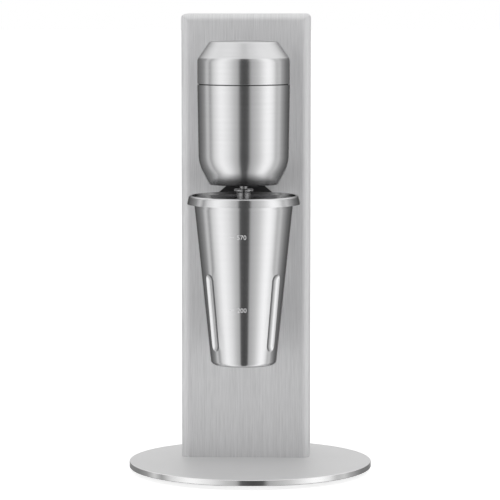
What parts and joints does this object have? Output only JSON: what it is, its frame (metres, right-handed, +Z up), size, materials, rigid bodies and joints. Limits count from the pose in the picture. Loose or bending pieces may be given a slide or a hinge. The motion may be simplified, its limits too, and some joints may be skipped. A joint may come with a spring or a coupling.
{
  "type": "milkshake mixer",
  "caption": "Counter-top milkshake mixer: round steel foot, brushed column, motor head with spindle and a removable steel cup hung on a rear bracket.",
  "frame": {"origin": "centre of the round base, at the bottom of its rubber feet, on the counter", "axes": "+Z up; the front, where the head and cup are, faces -Y; +X to the right seen from the front"},
  "size_m": [0.24, 0.24, 0.452],
  "materials": {
    "polished_steel": "satin",
    "brushed_column_steel": "satin",
    "satin_rear_steel": "satin",
    "spun_head_steel": "satin",
    "cup_steel": "polished",
    "ground_steel": "polished",
    "screw_steel": "satin",
    "spring_steel": "satin",
    "lamination_steel": "matte",
    "zinc_sheet": "satin",
    "cast_aluminium": "satin",
    "bronze": "satin",
    "copper_winding": "gloss",
    "commutator_copper": "satin",
    "carbon": "matte",
    "black_plastic": "satin",
    "gloss_black_plastic": "gloss",
    "brown_plastic": "satin",
    "switch_plastic": "satin",
    "white_plastic": "satin",
    "yellow_plastic": "satin",
    "black_rubber": "matte"
  },
  "bodies": {
    "stand": {"base_plate": "polished_steel", "base_feet": "black_rubber", "base_screws": "screw_steel", "base_nuts": "screw_steel", "column_floor": "zinc_sheet", "column_shell": "brushed_column_steel", "rear_cover": "satin_rear_steel", "rear_cover_screws": "screw_steel", "backing_plate": "zinc_sheet", "head_neck": "cast_aluminium", "neck_bolts": "screw_steel", "head_saddle": "cast_aluminium", "head_shell": "spun_head_steel", "head_cap": "spun_head_steel", "head_floor": "black_plastic", "head_floor_screws": "screw_steel", "shaft_seal": "black_rubber", "motor_lower_bracket": "cast_aluminium", "motor_upper_bracket": "cast_aluminium", "motor_bolts": "screw_steel", "motor_nuts": "screw_steel", "lower_bearing": "bronze", "upper_bearing": "bronze", "stator_core": "lamination_steel", "field_coil_front": "copper_winding", "field_coil_rear": "copper_winding", "brush_holder_left": "brown_plastic", "brush_holder_right": "brown_plastic", "brush_spring_left": "spring_steel", "brush_spring_right": "spring_steel", "cup_bracket": "black_plastic", "bracket_screws": "screw_steel", "cup_bumper": "black_rubber", "bumper_screws": "screw_steel", "button_spring": "spring_steel", "switch_bracket": "zinc_sheet", "switch_screws": "screw_steel", "microswitch_body": "switch_plastic", "rocker_frame": "black_plastic", "cable_gland": "black_plastic", "gland_nut": "black_plastic", "terminal_block": "white_plastic", "suppressor_capacitor": "yellow_plastic", "wiring_loom": "black_rubber"},
    "rotor": {"motor_shaft": "ground_steel", "armature_core": "lamination_steel", "armature_windings": "copper_winding", "commutator": "commutator_copper", "cooling_fan": "black_plastic", "spindle_collar": "ground_steel", "spindle_rod": "ground_steel", "agitator": "ground_steel"},
    "cup": {"mixing_cup": "cup_steel"},
    "button": {"sensor_button": "black_plastic"},
    "plunger": {"microswitch_plunger": "white_plastic"},
    "rocker": {"rocker": "gloss_black_plastic"},
    "brush_left": {"brush_left": "carbon"},
    "brush_right": {"brush_right": "carbon"}
  },
  "joints": [
    {"name": "spindle_spin", "type": "hinge", "parent": "stand", "child": "rotor", "pos_m": [-0.005, -0.0448, 0.3], "axis": [0, 0, 1], "continuous": true},
    {"name": "cup_lift", "type": "slide", "parent": "stand", "child": "cup", "axis": [0, 0, 1], "range_m": [0, 0.015]},
    {"name": "button_press", "type": "slide", "parent": "stand", "child": "button", "axis": [0, 1, 0], "range_m": [0, 0.0015], "stiffness_N_per_m": 400, "deforming": ["button_spring"]},
    {"name": "plunger_press", "type": "slide", "parent": "stand", "child": "plunger", "axis": [0, 1, 0], "range_m": [0, 0.0015]},
    {"name": "rocker_tilt", "type": "hinge", "parent": "stand", "child": "rocker", "pos_m": [-0.005, 0.0813, 0.11], "axis": [1, 0, 0], "range_deg": [-14, 0]},
    {"name": "brush_left_slide", "type": "slide", "parent": "stand", "child": "brush_left", "axis": [-1, 0, 0], "range_m": [0, 0.003], "stiffness_N_per_m": 200, "deforming": ["brush_spring_left"]},
    {"name": "brush_right_slide", "type": "slide", "parent": "stand", "child": "brush_right", "axis": [1, 0, 0], "range_m": [0, 0.003], "stiffness_N_per_m": 200, "deforming": ["brush_spring_right"]}
  ],
  "couplings": [
    {"joint": "plunger_press", "follows": "button_press", "ratio": 1}
  ]
}
